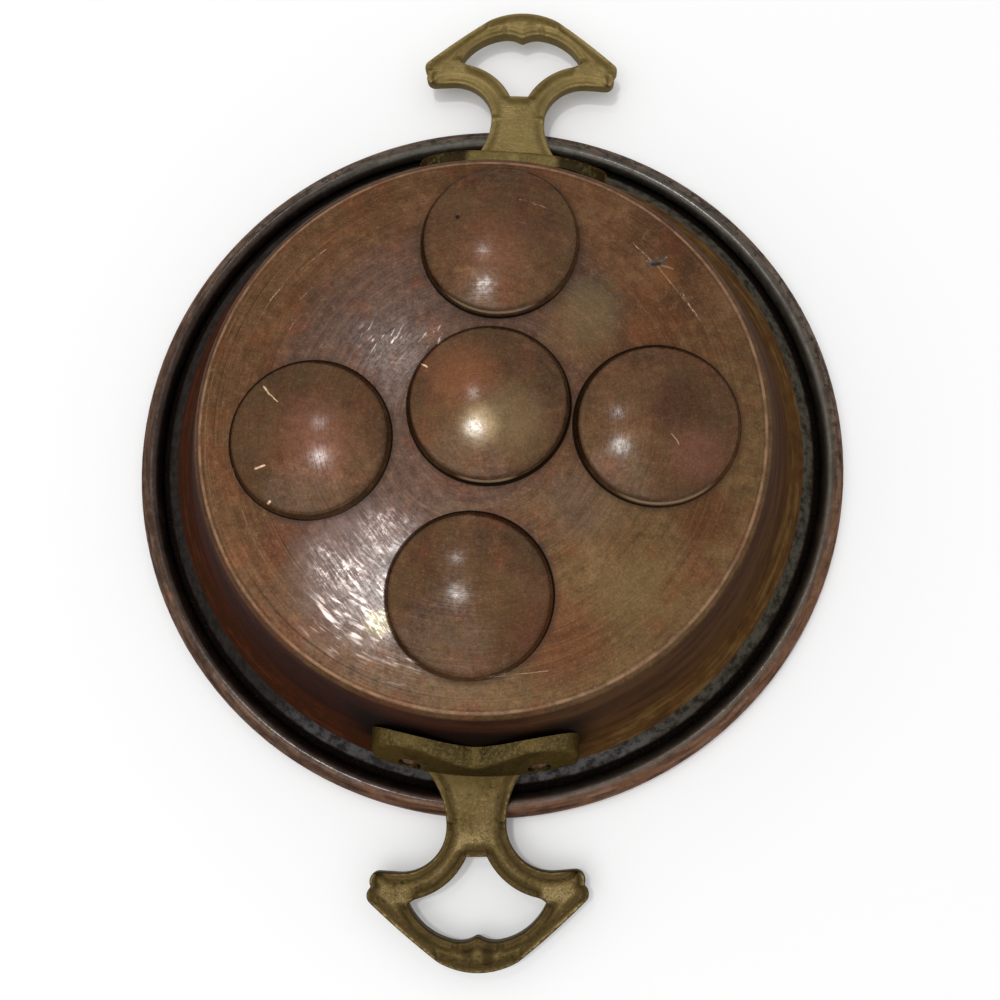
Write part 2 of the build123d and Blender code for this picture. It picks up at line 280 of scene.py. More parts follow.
def ring_marks(finish, wide, long, shift=0.0):
    """Noise stretched along circles: it reads the radius divided by the width of a mark, and the
    direction from the axis times the number of marks on half the way round, where a mark is
    long at the edge of the base. No seam shows, because the direction is given by its sine and
    cosine."""
    turn = math.pi * MARKED_RADIUS / long
    around_x = finish.x / finish.r * turn
    around_y = finish.y / finish.r * turn
    place = finish.join(finish.r / wide, around_x, around_y)
    return finish.noise(1.0, detail=2.0, rough=0.5, place=place, shift=shift)


def strokes(finish, degrees, wide, long, shift=0.0):
    """Noise drawn out in one direction, counted from +X: it reads how far a point lies along that
    direction divided by the length of a stroke, and how far across it divided by its width."""
    cosine = math.cos(math.radians(degrees))
    sine = math.sin(math.radians(degrees))
    along = finish.x * cosine + finish.y * sine
    across = finish.y * cosine - finish.x * sine
    place = finish.join(along / long, across / wide, 0.0)
    return finish.noise(1.0, detail=2.0, rough=0.5, place=place, shift=shift)


def away_from(finish, centre):
    """The distance from a centre seen from above, and the two parts of the step to it."""
    away_x = finish.x - centre[0]
    away_y = finish.y - centre[1]
    return finish.length(away_x, away_y), away_x, away_y


def scratch(finish, start, end, half_width, wobble):
    """1 on a scratch seen from above: the distance from the point to the segment, found by sliding
    along it by the clamped dot product. A little noise in the place makes it wobble."""
    run = (end[0] - start[0], end[1] - start[1])
    length_2 = run[0] ** 2 + run[1] ** 2
    along = (finish.x - start[0]) * run[0] + (finish.y - start[1]) * run[1]
    along = finish.node("ShaderNodeClamp", None, {0: along / length_2, 1: 0.0, 2: 1.0})
    away_x = finish.x + wobble - start[0] - along * run[0]
    away_y = finish.y + wobble - start[1] - along * run[1]
    return finish.ease(finish.length(away_x, away_y), half_width * 1.8, half_width * 0.3)


def leaning(away, away_x, away_y, degrees):
    """The cosine of the angle between the step from a centre and a direction: their dot product
    divided by the length of the step."""
    angle = math.radians(degrees)
    return (away_x * math.cos(angle) + away_y * math.sin(angle)) / away


def spot(finish, centre, radius, soft):
    """1 inside a round patch seen from above, falling to 0 over the distance soft."""
    away = away_from(finish, centre)[0]
    return finish.ease(away, radius + soft, radius)


def arc_mark(finish, radius, middle, half_span, half_width, centre=(0.0, 0.0)):
    """1 on an arc seen from above, fading at both ends. Its middle and half span are in degrees.
    The cosine of the angle to the middle is a dot product, so no angle is ever worked out."""
    away, away_x, away_y = away_from(finish, centre)
    cosine = leaning(away, away_x, away_y, middle)
    gone = math.cos(math.radians(half_span))
    whole = math.cos(math.radians(half_span * 0.5))
    line = finish.ease(abs(away - radius), half_width * 1.8, half_width * 0.3)
    return line * finish.ease(cosine, gone, whole)


def any_of(finish, masks):
    """The largest of several masks at each point."""
    largest = masks[0]
    for mask in masks[1:]:
        largest = finish.maths("MAXIMUM", largest, mask)
    return largest


def zone(finish, spots):
    """The largest of several soft patches, each with its centre, radius, soft edge and strength."""
    return any_of(finish, [spot(finish, *place) * strength for *place, strength in spots])


fine_rings = ring_marks(copper, 0.22, 60.0)
broad_rings = ring_marks(copper, 1.3, 90.0, shift=11.0)
print("marks are ready")

# %% [markdown]
# ### Creases
#
# Where a hollow was pressed in, its edge is a sharp crease, and a dark line is painted in it,
# partly dirt and partly painted shade, wider on the side in shade than on the other. The line is
# drawn where the distance to the middle of a hollow equals its radius, and a softer band of painted
# shade lies round it. On the side that looks away from the light a bare metal crease would mirror
# only the dark base, so the metal is duller there.

# %% Creases round the domes
# For each hollow: which way its crease is widest, which is the side where its painted shade lies,
# its half width there is mean + swing, and on the far side mean - swing. Below zero there is no
# dark line. The last number is the direction that looks away from the light.
CREASES = {
    "middle": (-50.0, 0.09, 0.15),
    "back": (-100.0, -0.10, 0.24),
    "left": (120.0, 0.08, 0.04),
    "right": (160.0, 0.10, 0.12),
    "front": (50.0, 0.03, 0.14),
}
DIM_SIDE = -45.0
from_edges = []
lines = []
turned_away = []
for name, centre in HOLLOWS.items():
    away, away_x, away_y = away_from(copper, centre)
    widest, mean, swing = CREASES[name]
    half_width = mean + leaning(away, away_x, away_y, widest) * swing + ragged * 0.04
    from_edge = away - HOLLOW_RADIUS
    from_edges.append(from_edge)
    line = copper.ease(abs(from_edge) - half_width, 0.15, 0.0)
    lines.append(line * copper.ease(half_width, -0.12, 0.04))
    dim = copper.ease(leaning(away, away_x, away_y, DIM_SIDE), -0.495, 0.495)
    turned_away.append(copper.ease(abs(from_edge + 0.5), 1.7, 0.6) * dim)
from_crease = from_edges[0]
for from_edge in from_edges[1:]:
    from_crease = copper.maths("MINIMUM", from_crease, from_edge)
on_dome = copper.ease(from_crease, 0.0, -0.6)
# Painted shade: the dark line in each crease, partly dirt and partly painted shade, and a softer
# band of painted shade round it.
crease_dirt_and_shade = any_of(copper, lines) * on_base
crease_shade_band = copper.ease(from_crease, 1.8, 0.1) * copper.ease(from_crease, -0.4, 0.1) * on_base
near_crease = any_of(copper, turned_away) * on_base
# Painted highlight: pale arcs on the foot of three domes, where the rounded corner catches the
# light.
painted_foot_highlight = any_of(
    copper,
    [
        arc_mark(copper, 15.5, -88.0, 24.0, 0.14, HOLLOWS["middle"]),
        arc_mark(copper, 15.5, -82.0, 40.0, 0.16, HOLLOWS["right"]),
        arc_mark(copper, 15.4, -95.0, 40.0, 0.12, HOLLOWS["back"]),
    ],
)
print("creases", len(lines))

# %% [markdown]
# ### Colour of the copper
#
# The base goes from a warm brown to grey, red and olive in soft clouds, and the wall is painted
# darker, as painted shade for the dark that it reflects, and streaked all the way round. One flat
# brown would look like plastic, and one cloud pattern like marble. So each tone has a mask of its
# own and is laid over the last one: first the broad ones, then the patches at their places, one of
# which is a painted highlight, and the rings and the grain on top. The zones come together at the
# end.

# %% Colour of the base
base_brown = copper.ramp(
    cloud + (cloud_fine - 0.5) * 0.35,
    [(0.30, "3a2415"), (0.45, "4a311d"), (0.57, "573a24"), (0.72, "644831")],
)
plateau = (1 - on_dome) * copper.ease(copper.r + ragged * 1.5, 46.0, 38.0)
plateau = plateau * copper.ease(copper.x - copper.y * 0.2 + (cloud - 0.5) * 40, 26.0, 2.0)
base_brown = copper.lay(base_brown, plateau * 0.7, "463530")
olive_streaks = strokes(copper, 52.0, 0.8, 14.0, shift=13.0)
olive = copper.ease(copper.x * 0.7 - copper.y * 0.7 + (cloud - 0.5) * 55, 8.0, 34.0) * (1 - on_dome)
olive = olive * (0.5 + copper.ease(olive_streaks * 0.4 + cloud_fine * 0.6, 0.36, 0.62) * 0.5)
base_brown = copper.lay(base_brown, olive * 0.5, "5f5030")
outer_ring = copper.ease(copper.r + ragged, 45.0, 50.0)
outer_ring = outer_ring * copper.ease(copper.x + (cloud - 0.5) * 40, 10.0, -20.0)
base_brown = copper.lay(base_brown, outer_ring * 0.6, "4f3720")
red = copper.ease(copper.noise(6.5, detail=3.0, shift=31.0), 0.50, 0.64)
base_brown = copper.lay(base_brown, red * 0.42, "5c301b")
mottled = copper.noise(2.0, detail=3.0, rough=0.7, shift=97.0)
base_brown = copper.lay(base_brown, copper.ease(mottled, 0.50, 0.64) * 0.35, "331f10")
base_brown = copper.lay(base_brown, copper.ease(mottled, 0.46, 0.34) * 0.25, "7c5a3c")
dome_olive = on_dome * copper.ease(copper.noise(8.0, detail=3.0, rough=0.6, shift=53.0), 0.38, 0.6)
base_brown = copper.lay(base_brown, dome_olive * 0.6, "4c381f")
PATCHES_AND_HIGHLIGHT = [
    ((-31.0, -4.5), 2.0, 9.0, "663c2e", 0.6),
    ((-3.5, 9.0), 2.0, 8.0, "75462a", 0.6),
    ((6.5, 0.5), 2.0, 8.0, "66563a", 0.6),
    # This patch is a painted highlight on the middle dome, where the lamp is reflected.
    ((0.3, -0.8), 0.8, 4.5, "a08a66", 0.55),
    ((20.5, 24.5), 2.0, 7.0, "5a523c", 0.6),
    ((31.0, 21.0), 1.0, 6.0, "653c20", 0.35),
    ((37.5, 4.2), 2.0, 6.0, "3f2413", 0.7),
    ((42.0, -5.0), 2.0, 6.0, "6b4433", 0.6),
    ((2.0, 36.0), 2.0, 8.0, "653d2a", 0.5),
    ((44.0, -16.0), 3.0, 5.0, "472812", 0.75),
    ((17.0, -41.0), 4.0, 8.0, "54301b", 0.75),
    ((31.0, -30.0), 2.0, 9.0, "665334", 0.35),
    ((28.0, -22.0), 1.0, 5.0, "47321d", 0.5),
    ((20.0, -15.0), 3.0, 7.0, "554538", 0.5),
    ((19.0, 20.0), 3.0, 7.0, "5f4a2f", 0.5),
]
for centre, radius, soft, tone, strength in PATCHES_AND_HIGHLIGHT:
    patch = spot(copper, centre, radius, soft)
    base_brown = copper.lay(base_brown, patch * strength * on_base, tone)
marks = copper.ease(fine_rings, 0.42, 0.72) * 0.45 + copper.ease(broad_rings, 0.45, 0.65) * 0.3
base_brown = copper.lay(base_brown, (1 - on_dome) * 0.22 * marks, "7a5c41")
dark_rings = copper.ease(broad_rings, 0.42, 0.30) * (1 - on_dome)
base_brown = copper.lay(base_brown, dark_rings * 0.22, "34200f")
base_brown = copper.lay(base_brown, copper.ease(grain, 0.40, 0.72) * 0.20, "2c1a0d")
base_brown = copper.lay(base_brown, copper.ease(grain, 0.46, 0.26) * 0.15, "8a6c50")
print("the base is coloured")

# %% Colour of the wall and the flare
left_side = copper.ease(copper.x + copper.y * 0.35 + (cloud - 0.5) * 30, 10.0, -30.0)


def by_side(right_tone, left_tone):
    """One colour on the right of the pan that turns into another, redder one on the left."""
    return copper.mix(left_side, colour(right_tone), colour(left_tone))


wall_bands = copper.ease(broad_rings, 0.4, 0.62)
streaks = ring_marks(copper, 0.7, 24.0, shift=29.0) * 0.7 + cloud_fine * 0.3
pale_streaks = copper.ease(streaks, 0.50, 0.64)
flare_clouds = copper.ease(cloud_fine, 0.35, 0.7)
# The wall is painted dark as painted shade for the dark that it reflects; its streaks are its own
# tone.
wall_brown_and_shade = copper.mix(wall_bands * 0.6, by_side("392312", "28110a"), by_side("523820", "3f2012"))
wall_brown_and_shade = copper.lay(wall_brown_and_shade, copper.ease(streaks, 0.47, 0.38) * 0.4, "26150b")
flare_brown = by_side("4a3118", "301608")
flare_brown = copper.mix(flare_clouds * 0.5, flare_brown, by_side("5c4020", "421f10"))
flare_brown = copper.mix(pale_streaks * 0.45, flare_brown, by_side("715a36", "4d2a1a"))
flare_brown = copper.lay(flare_brown, copper.ease(streaks, 0.47, 0.36) * 0.45, "2a190c")
print("the wall and the flare are coloured")

# %% Colour of the strip, the groove and the rim
rim_spots = copper.noise(1.9, detail=3.0, rough=0.72, shift=47.0)
strip_spots = copper.ease(rim_spots * 0.6 + cloud_fine * 0.4, 0.42, 0.61)
front_grey = copper.ease(copper.y + (cloud - 0.5) * 20, -52.0, -62.0)
strip_grey = copper.lay(by_side("4c483f", "2e2a28"), front_grey * 0.55, "626263")
strip_grey = copper.lay(strip_grey, strip_spots * 0.85, "1d1915")
# The groove is painted black: partly soot, partly painted shade inside the curl of the rim.
soot_and_shade = copper.mix(copper.ease(grain, 0.5, 0.75), colour("080605"), colour("1c1814"))
bead_brown = copper.ramp(
    copper.noise(8.0, detail=3.0, rough=0.6, shift=41.0),
    [(0.32, "3b2a20"), (0.48, "523a2b"), (0.6, "5f493a"), (0.72, "6d4c34")],
)
grey_top = copper.ease(copper.y * 0.85 + copper.x * 0.35 + (cloud - 0.5) * 40, 0.0, 45.0)
bead_brown = copper.lay(bead_brown, grey_top * 0.7, "5a5148")
orange_front = copper.ease(copper.x * 0.6 - copper.y * 0.8 + (cloud - 0.5) * 40, 20.0, 60.0)
bead_brown = copper.lay(bead_brown, orange_front * 0.7, "6e4a33")
rim_streaks = ring_marks(copper, 0.7, 14.0, shift=17.0)
bead_brown = copper.lay(bead_brown, copper.ease(rim_streaks, 0.50, 0.36) * 0.55, "2a1f19")
rubbed_streaks = copper.ease(rim_streaks * 0.6 + cloud_fine * 0.4, 0.52, 0.66)
bead_brown = copper.lay(bead_brown, rubbed_streaks * 0.45, "7d6a5e")
rim_soot = copper.ease(rim_spots, 0.50, 0.60) * (0.28 + grey_top * 0.5)
bead_brown = copper.lay(bead_brown, rim_soot, "1f1c18")
# Painted shade: the inner side of the roll, towards the groove, is darker, partly soot and partly
# painted shade.
inner_soot_and_shade = copper.ease(copper.r + ragged * 0.7, RIM_RADIUS - 1.7, RIM_RADIUS - 3.1)
bead_brown = copper.mix(inner_soot_and_shade * 0.85, bead_brown, by_side("37352f", "1d1613"))
print("the rim is coloured")

# %% All zones together
skin = copper.mix(on_flare, wall_brown_and_shade, flare_brown)
skin = copper.mix(on_base, skin, base_brown)
skin = copper.mix(on_strip, skin, strip_grey)
skin = copper.mix(on_bead, skin, bead_brown)
skin = copper.mix(in_groove, skin, soot_and_shade)
# The wall just above and behind each flange is painted nearly black, partly soot and partly painted
# shade.
soot_and_shade_behind_flange = copper.ease(abs(copper.x) + ragged * 2, 27.0, 19.0)
soot_and_shade_behind_flange = soot_and_shade_behind_flange * copper.band(copper.z + ragged * 1.5, 13.5, 4.5, 5.5)
soot_and_shade_behind_flange = soot_and_shade_behind_flange * copper.ease(abs(copper.y), 48.0, 51.0)
soot_and_shade_behind_flange = soot_and_shade_behind_flange * copper.ease(copper.r, 64.5, 63.0)
skin = copper.lay(skin, soot_and_shade_behind_flange * 0.93, "0c0806")
# Painted highlight: a pale line along the rounded edge of the base.
painted_edge_highlight = copper.band(copper.r + ragged * 0.10, BASE_RADIUS - 0.9, 0.10, 0.35)
painted_edge_highlight = painted_edge_highlight * copper.ease(copper.z, BASE_HEIGHT - 1.8, BASE_HEIGHT - 1.2)
painted_edge_highlight = painted_edge_highlight * (0.4 + copper.ease(cloud_fine, 0.4, 0.6) * 0.5)
skin = copper.lay(skin, painted_edge_highlight, "94735a")
# Painted shade in and round the creases of the domes.
skin = copper.lay(skin, crease_shade_band * 0.35, "33231a")
skin = copper.lay(skin, crease_dirt_and_shade * 0.93, "0f0906")
# Painted highlight on the foot of some domes.
skin = copper.lay(skin, painted_foot_highlight * on_base * 0.6, "c0a888")
print("colours of the copper are laid")

# %% [markdown]
# ### Single marks, painted highlights and the painted sheen
#
# A few scratches, turned lines, painted highlights along the rounded edge of the base and one knock
# are always at the same places, so they are written as lists of points. Near the front left, the
# base carries painted glints and a painted sheen: there, short brush strokes lie across the rings
# and are painted bright where the lamp would glint in them, and both are only let through in soft
# round zones.

# %% Marks at their own places
# Scratches go from one point to another. Lines turned round the axis have a radius, a middle and a
# half span in degrees. The last number is half the width.
BRIGHT_SCRATCHES = [
    ((-42.3, 5.5), (-41.0, 3.7), 0.14),
    ((-41.1, 3.9), (-39.1, 2.2), 0.10),
    ((-42.3, -11.1), (-40.6, -10.5), 0.17),
    ((-11.9, 11.2), (-10.6, 10.5), 0.12),
    ((-39.4, -17.6), (-39.1, -17.3), 0.20),
]
FAINT_SCRATCHES = [
    ((33.6, 33.6), (42.1, 22.6), 0.12),
    ((28.6, 38.4), (34.4, 32.6), 0.09),
    ((31.4, 34.6), (36.6, 33.2), 0.16),
    ((31.8, 32.9), (35.4, 35.6), 0.14),
    ((38.4, 28.2), (40.6, 24.4), 0.16),
    ((5.7, 45.5), (8.6, 45.0), 0.12),
    ((8.4, 44.7), (11.4, 44.1), 0.10),
    ((36.7, -1.5), (38.1, -3.4), 0.10),
    ((-43.4, 24.1), (-41.0, 27.3), 0.09),
    ((-37.9, 30.7), (-33.0, 35.3), 0.08),
    ((-37.4, 24.3), (-35.2, 27.0), 0.10),
    ((-39.0, 18.0), (-37.9, 20.2), 0.09),
    ((-22.3, -18.8), (-15.9, -26.4), 0.06),
    ((-21.3, -18.3), (-15.1, -25.6), 0.05),
    ((-19.6, -17.8), (-14.3, -24.0), 0.06),
    ((2.0, -48.8), (7.6, -47.4), 0.12),
    ((4.6, -48.3), (15.2, -46.6), 0.06),
]
# The two pale lines near the edge of the base, at 53.9 and 54.7, are painted highlights on its
# rounded edge; the others are turned marks.
TURNED_LINES_AND_EDGE_HIGHLIGHTS = [
    (48.7, -145.0, 30.0, 0.10),
    (53.9, 176.0, 34.0, 0.07),
    (54.7, -55.0, 34.0, 0.16),
    (49.5, 143.0, 16.0, 0.09),
]
DARK_LINES = [
    (44.0, -132.0, 26.0, 0.10),
    (45.0, -120.0, 22.0, 0.08),
    (52.6, -120.0, 30.0, 0.12),
    (52.2, 165.0, 26.0, 0.10),
]
broken = copper.ease(cloud_fine * 0.6 + mottled * 0.4 + grain * 0.3, 0.62, 0.72)
wobble = (copper.noise(1.6, detail=2.0, shift=61.0) - 0.5) * 0.35
faint = any_of(copper, [scratch(copper, *line, wobble) for line in FAINT_SCRATCHES])
bright = any_of(copper, [scratch(copper, *line, wobble) for line in BRIGHT_SCRATCHES])
turned_and_edge_highlights = any_of(copper, [arc_mark(copper, *line) for line in TURNED_LINES_AND_EDGE_HIGHLIGHTS])
dark_turned = any_of(copper, [arc_mark(copper, *line) for line in DARK_LINES])
# Pale turned lines, two of them painted highlights on the edge of the base.
skin = copper.lay(skin, turned_and_edge_highlights * broken * 0.60, "7e6248")
skin = copper.lay(skin, dark_turned * 0.6, "24150b")
skin = copper.lay(skin, faint * (0.10 + broken * 0.70) * on_base, "9c8470")
skin = copper.lay(skin, bright * (0.55 + broken * 0.45), "e6c4a2")
skin = copper.lay(skin, spot(copper, (35.2, 32.4), 0.5, 3.5) * on_base * 0.5, "6e4524")
knock = scratch(copper, (32.0, 33.9), (34.2, 34.5), 0.7, wobble * 2)
knock = any_of(copper, [knock, spot(copper, (34.6, 35.2), 0.1, 0.8)])
knock_core = scratch(copper, (32.6, 33.8), (33.9, 34.1), 0.35, wobble * 2)
skin = copper.lay(skin, knock * (0.35 + copper.ease(mottled, 0.4, 0.55) * 0.5), "3d3c3a")
skin = copper.lay(skin, knock_core * 0.85, "171412")
skin = copper.lay(skin, spot(copper, (-6.4, 41.5), 0.25, 0.4) * on_base, "150c06")
print("scratches", len(BRIGHT_SCRATCHES) + len(FAINT_SCRATCHES))
print("turned lines", len(TURNED_LINES_AND_EDGE_HIGHLIGHTS) + len(DARK_LINES))

# %% Brush marks with painted glints and sheen
# Brush marks on the base between the domes are painted bright, as glints and sheen of the lamp:
# short strokes lie across each other there.
steep = copper.ease(strokes(copper, 62.0, 0.8, 3.2, shift=2.0), 0.56, 0.70)
bands = copper.ease(ring_marks(copper, 0.9, 16.0, shift=5.0), 0.50, 0.68)
flecks = copper.ease(copper.noise(0.9, detail=3.0, rough=0.72, shift=71.0), 0.46, 0.60)
crossing = copper.ease(strokes(copper, -52.0, 0.38, 5.5, shift=23.0), 0.48, 0.64)
uneven = copper.ease(copper.noise(4.5, detail=2.0, shift=77.0), 0.40, 0.62)
UPPER_GLINTS = [((-20.0, 16.5), 1.5, 5.0, 0.9), ((-9.6, 17.2), 0.8, 3.0, 0.9)]
SHEEN_ZONES = [
    ((-24.0, -29.0), 2.0, 7.5, 1.0),
    ((-18.5, -37.0), 2.5, 6.5, 1.0),
    ((-17.0, -22.0), 1.0, 6.5, 0.7),
]
BANDED_SHEEN = [((-22.5, -38.5), 3.0, 8.0, 1.0), ((-13.0, -43.5), 2.0, 7.0, 0.7)]
scrub_marks = copper.maths("MAXIMUM", crossing, bands * 0.8) * (0.35 + flecks * 0.65)
scrub_marks = scrub_marks + flecks * uneven * 0.25
painted_glints = any_of(
    copper,
    [
        zone(copper, UPPER_GLINTS) * steep,
        zone(copper, SHEEN_ZONES) * scrub_marks * (0.30 + uneven * 0.70),
        zone(copper, BANDED_SHEEN) * bands * (0.50 + uneven * 0.50),
    ],
)
painted_glints = painted_glints * (1 - on_dome) * on_base
# Painted sheen: a greyish haze where the lamp is reflected in the base.
painted_sheen = spot(copper, (-20.0, -30.0), 6.0, 12.0) * (1 - on_dome) * on_base
skin = copper.lay(skin, painted_sheen * 0.65, "62524d")
# Painted glints: the brush marks painted pale where the lamp would glint in them.
skin = copper.lay(skin, painted_glints * 0.80, "c9b9b0")
# Painted highlight: a yellowish spot in the middle of the lamp's reflection.
yellow_highlight = spot(copper, (-17.0, -39.2), 0.8, 2.6) * (0.35 + bands * 0.65) * (1 - on_dome)
skin = copper.lay(skin, yellow_highlight * 0.8, "c9c184")
print("brush marks are ready")

# %% [markdown]
# ### Gloss
#
# Old copper reflects softly, yet each dome carries a small bright point. One roughness can't give
# both. So the metal is rough, and over it lies a thin coat, as of wax and grease, which is smooth
# and uneven. Soot and the dark wall are hardly metal any more. A low relief of clouds, rings and
# grain breaks up what is reflected.

# %% Gloss and relief of the copper
dull = copper.maths("MAXIMUM", in_groove, crease_dirt_and_shade)
roughness = 0.50 + copper.ease(cloud_fine, 0.4, 0.7) * 0.10 - marks * 0.04 - on_bead * 0.08
roughness = roughness + dull * 0.35 + on_strip * 0.1 - painted_glints * 0.15
roughness = roughness + (1 - on_base) * (1 - on_roll) * 0.18
bare_top = copper.ease(copper.z, BASE_HEIGHT - 1.0, BASE_HEIGHT - 0.1)
metal = 1 - (1 - bare_top) * (1 - on_roll) * 0.75
metal = metal - dull * 0.95 * copper.ease(copper.z, 10.0, 11.0)
metal = metal - near_crease * (1 - crease_dirt_and_shade) * 0.65
metal = copper.maths("MINIMUM", metal, 1 - in_groove * 0.95)

flat_top = copper.ease(copper.z, BASE_HEIGHT - 1.1, BASE_HEIGHT - 0.3)
polish = spot(copper, (0.3, -0.8), 0.5, 5.0)
top_film = 0.17 + on_dome * 0.13 + polish * 0.25 - copper.ease(cloud_fine, 0.45, 0.7) * 0.06
top_film = top_film + painted_glints * 0.4 + painted_sheen * bands * 0.35
film = flat_top * top_film + on_bead * (0.12 + rim_streaks * 0.3)
specks = copper.noise(0.9, detail=2.0, rough=0.75, shift=91.0)
worn_film = copper.ease(specks * 0.6 + fine_rings * 0.4, 0.38, 0.60)
film = film * (1 - crease_dirt_and_shade) * (0.45 + worn_film * 0.95)

relief = cloud_fine * 0.40 + grain * 0.22 + copper.noise(1.1, detail=2.0, shift=83.0) * 0.18
relief = relief + (fine_rings * 0.10 + broad_rings * 0.20) * (1 - on_dome) * on_base
copper_finish = copper.surface(
    {
        "Base Color": skin,
        "Roughness": roughness,
        "Metallic": metal,
        "Specular IOR Level": 0.1,
        "Specular Tint": (0.45, 0.33, 0.25, 1.0),
        "Coat Weight": film,
        "Coat Roughness": 0.16,
    },
    relief,
    0.10,
)
print("copper has", len(copper.tree.nodes), "nodes")

# %% [markdown]
# ## Tin
#
# The inside is wiped with molten tin, which stays as a dull grey skin with soft streaks. It shows
# only from below, and it is darker in the hollows, where the butter burnt on.

# %% Tin lining
tin = Finish("wiped_tin")
wiped = tin.noise(1.0, detail=4.0, place=tin.join(tin.x / 14, tin.y / 2.2, tin.z / 5)) * 0.6
wiped = wiped + tin.noise(9.0, detail=3.0, shift=19.0) * 0.4
hollows = any_of(tin, [spot(tin, centre, HOLLOW_RADIUS - 3.0, 3.5) for centre in HOLLOWS.values()])
burnt = hollows * tin.ease(tin.noise(5.0, detail=5.0, shift=3.0), 0.35, 0.65)
tin_grey = tin.ramp(wiped, [(0.35, "807c75"), (0.5, "928f89"), (0.65, "a19e98")])
tin_grey = tin.lay(tin_grey, burnt * 0.5, "655847")
tin_finish = tin.surface(
    {"Base Color": tin_grey, "Roughness": 0.36 + wiped * 0.2, "Metallic": 1 - burnt * 0.4},
    wiped * 0.5 + tin.noise(1.2, detail=3.0) * 0.5,
    0.06,
)
print("tin has", len(tin.tree.nodes), "nodes")

# %% [markdown]
# ## Cast brass
#
# The handles were cast in sand and only filed along their edges, so their faces keep the grain of
# the sand. Their brass has gone olive, with brown in the pits; the faces that turn sideways are
# painted dark as painted shade. The real bars are softly rounded all over, where the solids have a
# flat face between two small roundings. So the finish works out how near a point is to the outline
# of the loop, from the arcs and lines that the outline is drawn with, and lowers the relief there;
# it also lays brown along the edges, partly dirt and partly painted shade, and a painted highlight
# along the crowns. Both handles are one casting, so one function makes both finishes: the place of
# the loop differs, one copy is painted lighter and less brown than the other, and the back one has
# painted shade on the top of its flange.

# %% The outline of the loop
# In millimetres, from the middle of the loop's waist: u across, always positive, and v outwards.
# Each arc has its centre, its radius and the limits between which it is an edge: u low, u high, v
# low, v high. The last number is how far in from the edge the brown reaches, partly dirt and partly
# painted shade.
LOOP_ARCS = {
    "root": ((22.49, 0.0), 17.44, (-9.0, 39.0), (-14.0, 0.0), 0.3),
    "arm_outside": ((14.95, 0.0), 9.90, (-9.0, 39.0), (0.0, 39.0), 0.5),
    "arm_inside": ((14.95, 0.0), 13.40, (-9.0, 12.4), (4.9, 39.0), 0.6),
    "bow_inside": ((2.22, 9.60), 13.58, (4.4, 39.0), (15.0, 49.0), 1.1),
    "cusp": ((3.44, 16.57), 6.49, (-9.0, 4.4), (20.5, 49.0), 1.0),
    "bow_top": ((0.0, 11.70), 15.39, (-9.0, 8.0), (22.0, 49.0), 0.2),
    "inner_knuckle": ((18.9, 10.6), 1.5, (19.4, 49.0), (0.0, 12.2), 0.3),
    "outer_knuckle": ((19.6, 13.2), 1.6, (19.6, 49.0), (11.8, 14.6), 0.3),
}
BOW_LINE = ((20.8, 13.94), (8.0, 24.74))
WINDOW_FOOT = (2.7, 5.19)
ROUNDED = 2.3
LOOPS = {"front": ((2.09, -76.86), (0.065, -0.998)), "back": ((3.14, 76.83), (0.003, 1.0))}
print("arcs in the outline", len(LOOP_ARCS))

# %% How near a point is to the outline
def within(finish, value, low, high):
    """1 between low and high, fading over a millimetre on both sides of each."""
    return finish.ease(value, low - 1.0, low + 1.0) * finish.ease(value, high + 1.0, high - 1.0)


def near_outline(finish, loop):
    """Two masks, both 1 on the loop's outline. The first falls to 0 at the depth to which the real
    bar is rounded, and the second marks the brown along the edges, partly dirt and partly painted
    shade."""
    (waist_x, waist_y), (out_x, out_y) = loop
    step_x = finish.x - waist_x
    step_y = finish.y - waist_y
    u = abs(step_x * out_y - step_y * out_x)
    v = step_x * out_x + step_y * out_y
    rounding = []
    edge_dirt_and_shade = []
    for (centre_u, centre_v), radius, u_limits, v_limits, depth in LOOP_ARCS.values():
        away_u = u - centre_u
        away_v = v - centre_v
        distance = abs(finish.length(away_u, away_v) - radius)
        here = within(finish, u, *u_limits) * within(finish, v, *v_limits)
        rounding.append(finish.ease(distance, ROUNDED, 0.0) * here)
        edge_dirt_and_shade.append(finish.ease(distance, depth + 0.5, depth * 0.5) * here)
    (u_1, v_1), (u_2, v_2) = BOW_LINE
    length = math.hypot(u_2 - u_1, v_2 - v_1)
    distance = abs((u - u_1) * ((v_1 - v_2) / length) + (v - v_1) * ((u_2 - u_1) / length))
    here = within(finish, u, u_2, u_1)
    rounding.append(finish.ease(distance, ROUNDED, 0.0) * here)
    edge_dirt_and_shade.append(finish.ease(distance, 0.5, 0.0) * here)
    half_width, level = WINDOW_FOOT
    distance = abs(v - level)
    here = within(finish, u, -9.0, half_width)
    rounding.append(finish.ease(distance, ROUNDED, 0.0) * here)
    edge_dirt_and_shade.append(finish.ease(distance, 0.9, 0.2) * here)
    return any_of(finish, rounding), any_of(finish, edge_dirt_and_shade), u, v


